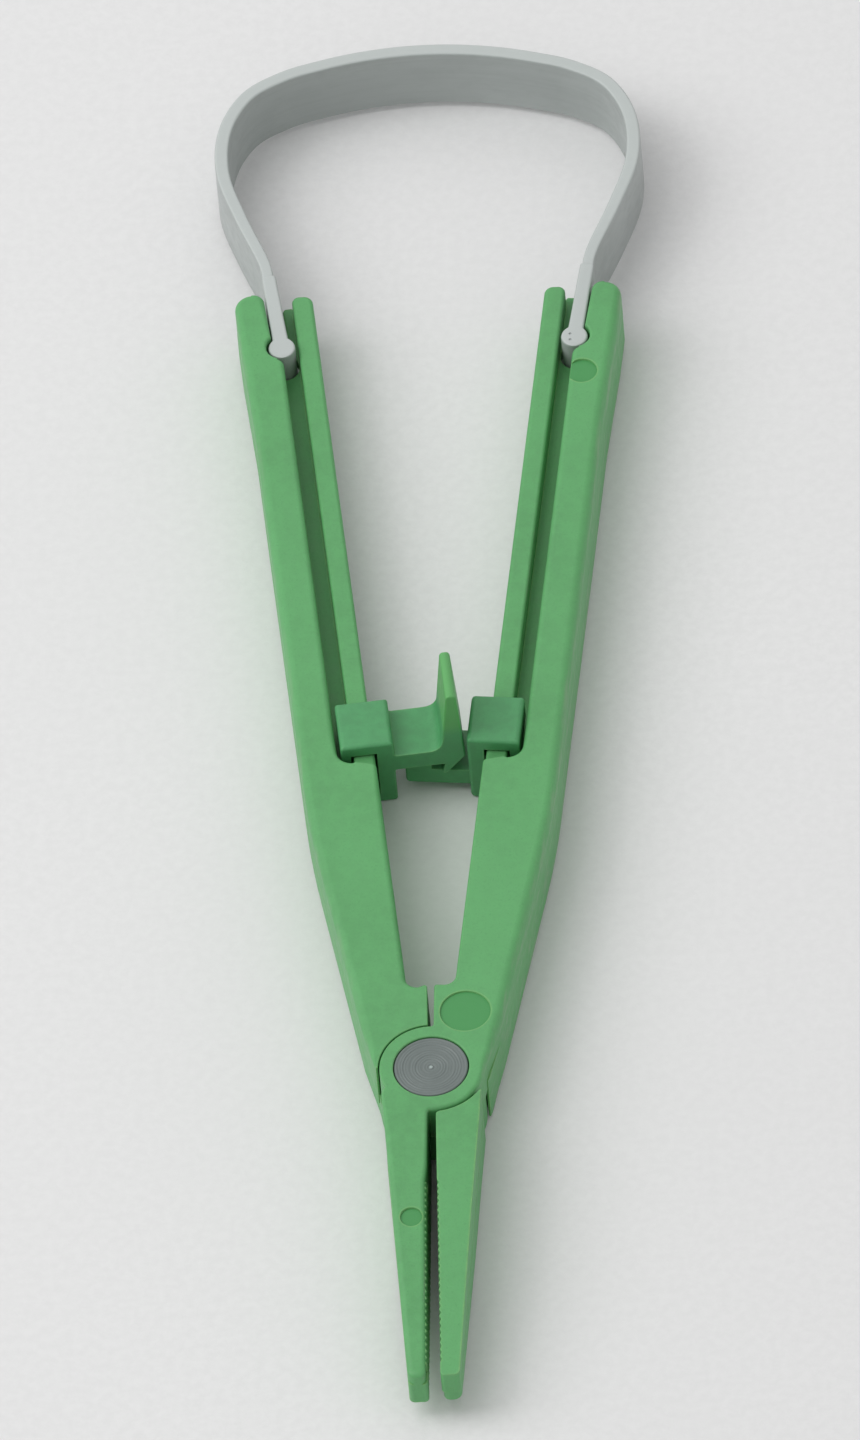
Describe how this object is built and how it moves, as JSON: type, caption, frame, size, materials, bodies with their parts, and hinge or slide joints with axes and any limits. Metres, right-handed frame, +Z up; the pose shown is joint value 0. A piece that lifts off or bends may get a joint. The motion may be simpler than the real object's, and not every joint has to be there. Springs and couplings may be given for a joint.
{
  "type": "locking gripping tongs",
  "caption": "Long-nosed plastic tongs with crossed arms, a springy strap joining the handles and a sliding snap latch, for gripping and pulling on socks.",
  "frame": {"origin": "on the pivot axis, in the plane of the arms' lower faces, at the centre of the pivot cap's underside", "axes": "+Y from the jaws towards the strap along the tool's centre line, +Z up along the pivot axis to the stud's head, +X to the right seen from above with the strap away from the viewer"},
  "size_m": [0.0618, 0.2443, 0.0217],
  "materials": {
    "arm_plastic": "fine moulded grain, mid green, satin",
    "clip_plastic": "smoother and slightly darker green, satin",
    "stud_plastic": "mid grey with faint turning rings",
    "strap_plastic": "pale grey, satin, slightly greenish"
  },
  "bodies": {
    "right_side": {"right_arm": "arm_plastic", "pivot_stud": "stud_plastic", "pivot_cap": "stud_plastic", "loop_spring": "strap_plastic"},
    "left_side": {"left_arm": "arm_plastic"},
    "pawl_slider": {"pawl_clip": "clip_plastic"},
    "rack_slider": {"rack_clip": "clip_plastic"},
    "pawl_tab": {"pawl_lever": "clip_plastic"}
  },
  "joints": [
    {"name": "arm_pivot", "type": "hinge", "parent": "right_side", "child": "left_side", "pos_m": [0, 0, 0.006], "axis": [0, 0, 1], "range_deg": [0, 14], "deforming": ["loop_spring"]},
    {"name": "pawl_slide", "type": "slide", "parent": "left_side", "child": "pawl_slider", "axis": [-0.102, 0.9948, 0], "range_m": [0, 0.065]},
    {"name": "rack_slide", "type": "slide", "parent": "right_side", "child": "rack_slider", "axis": [0.102, 0.9948, 0], "range_m": [0, 0.065]},
    {"name": "lever_lift", "type": "hinge", "parent": "pawl_slider", "child": "pawl_tab", "pos_m": [-0.00384, 0.06344, 0.00795], "axis": [0.102, -0.9948, 0], "range_deg": [0, 12], "stiffness_Nm_per_rad": 0.12}
  ]
}
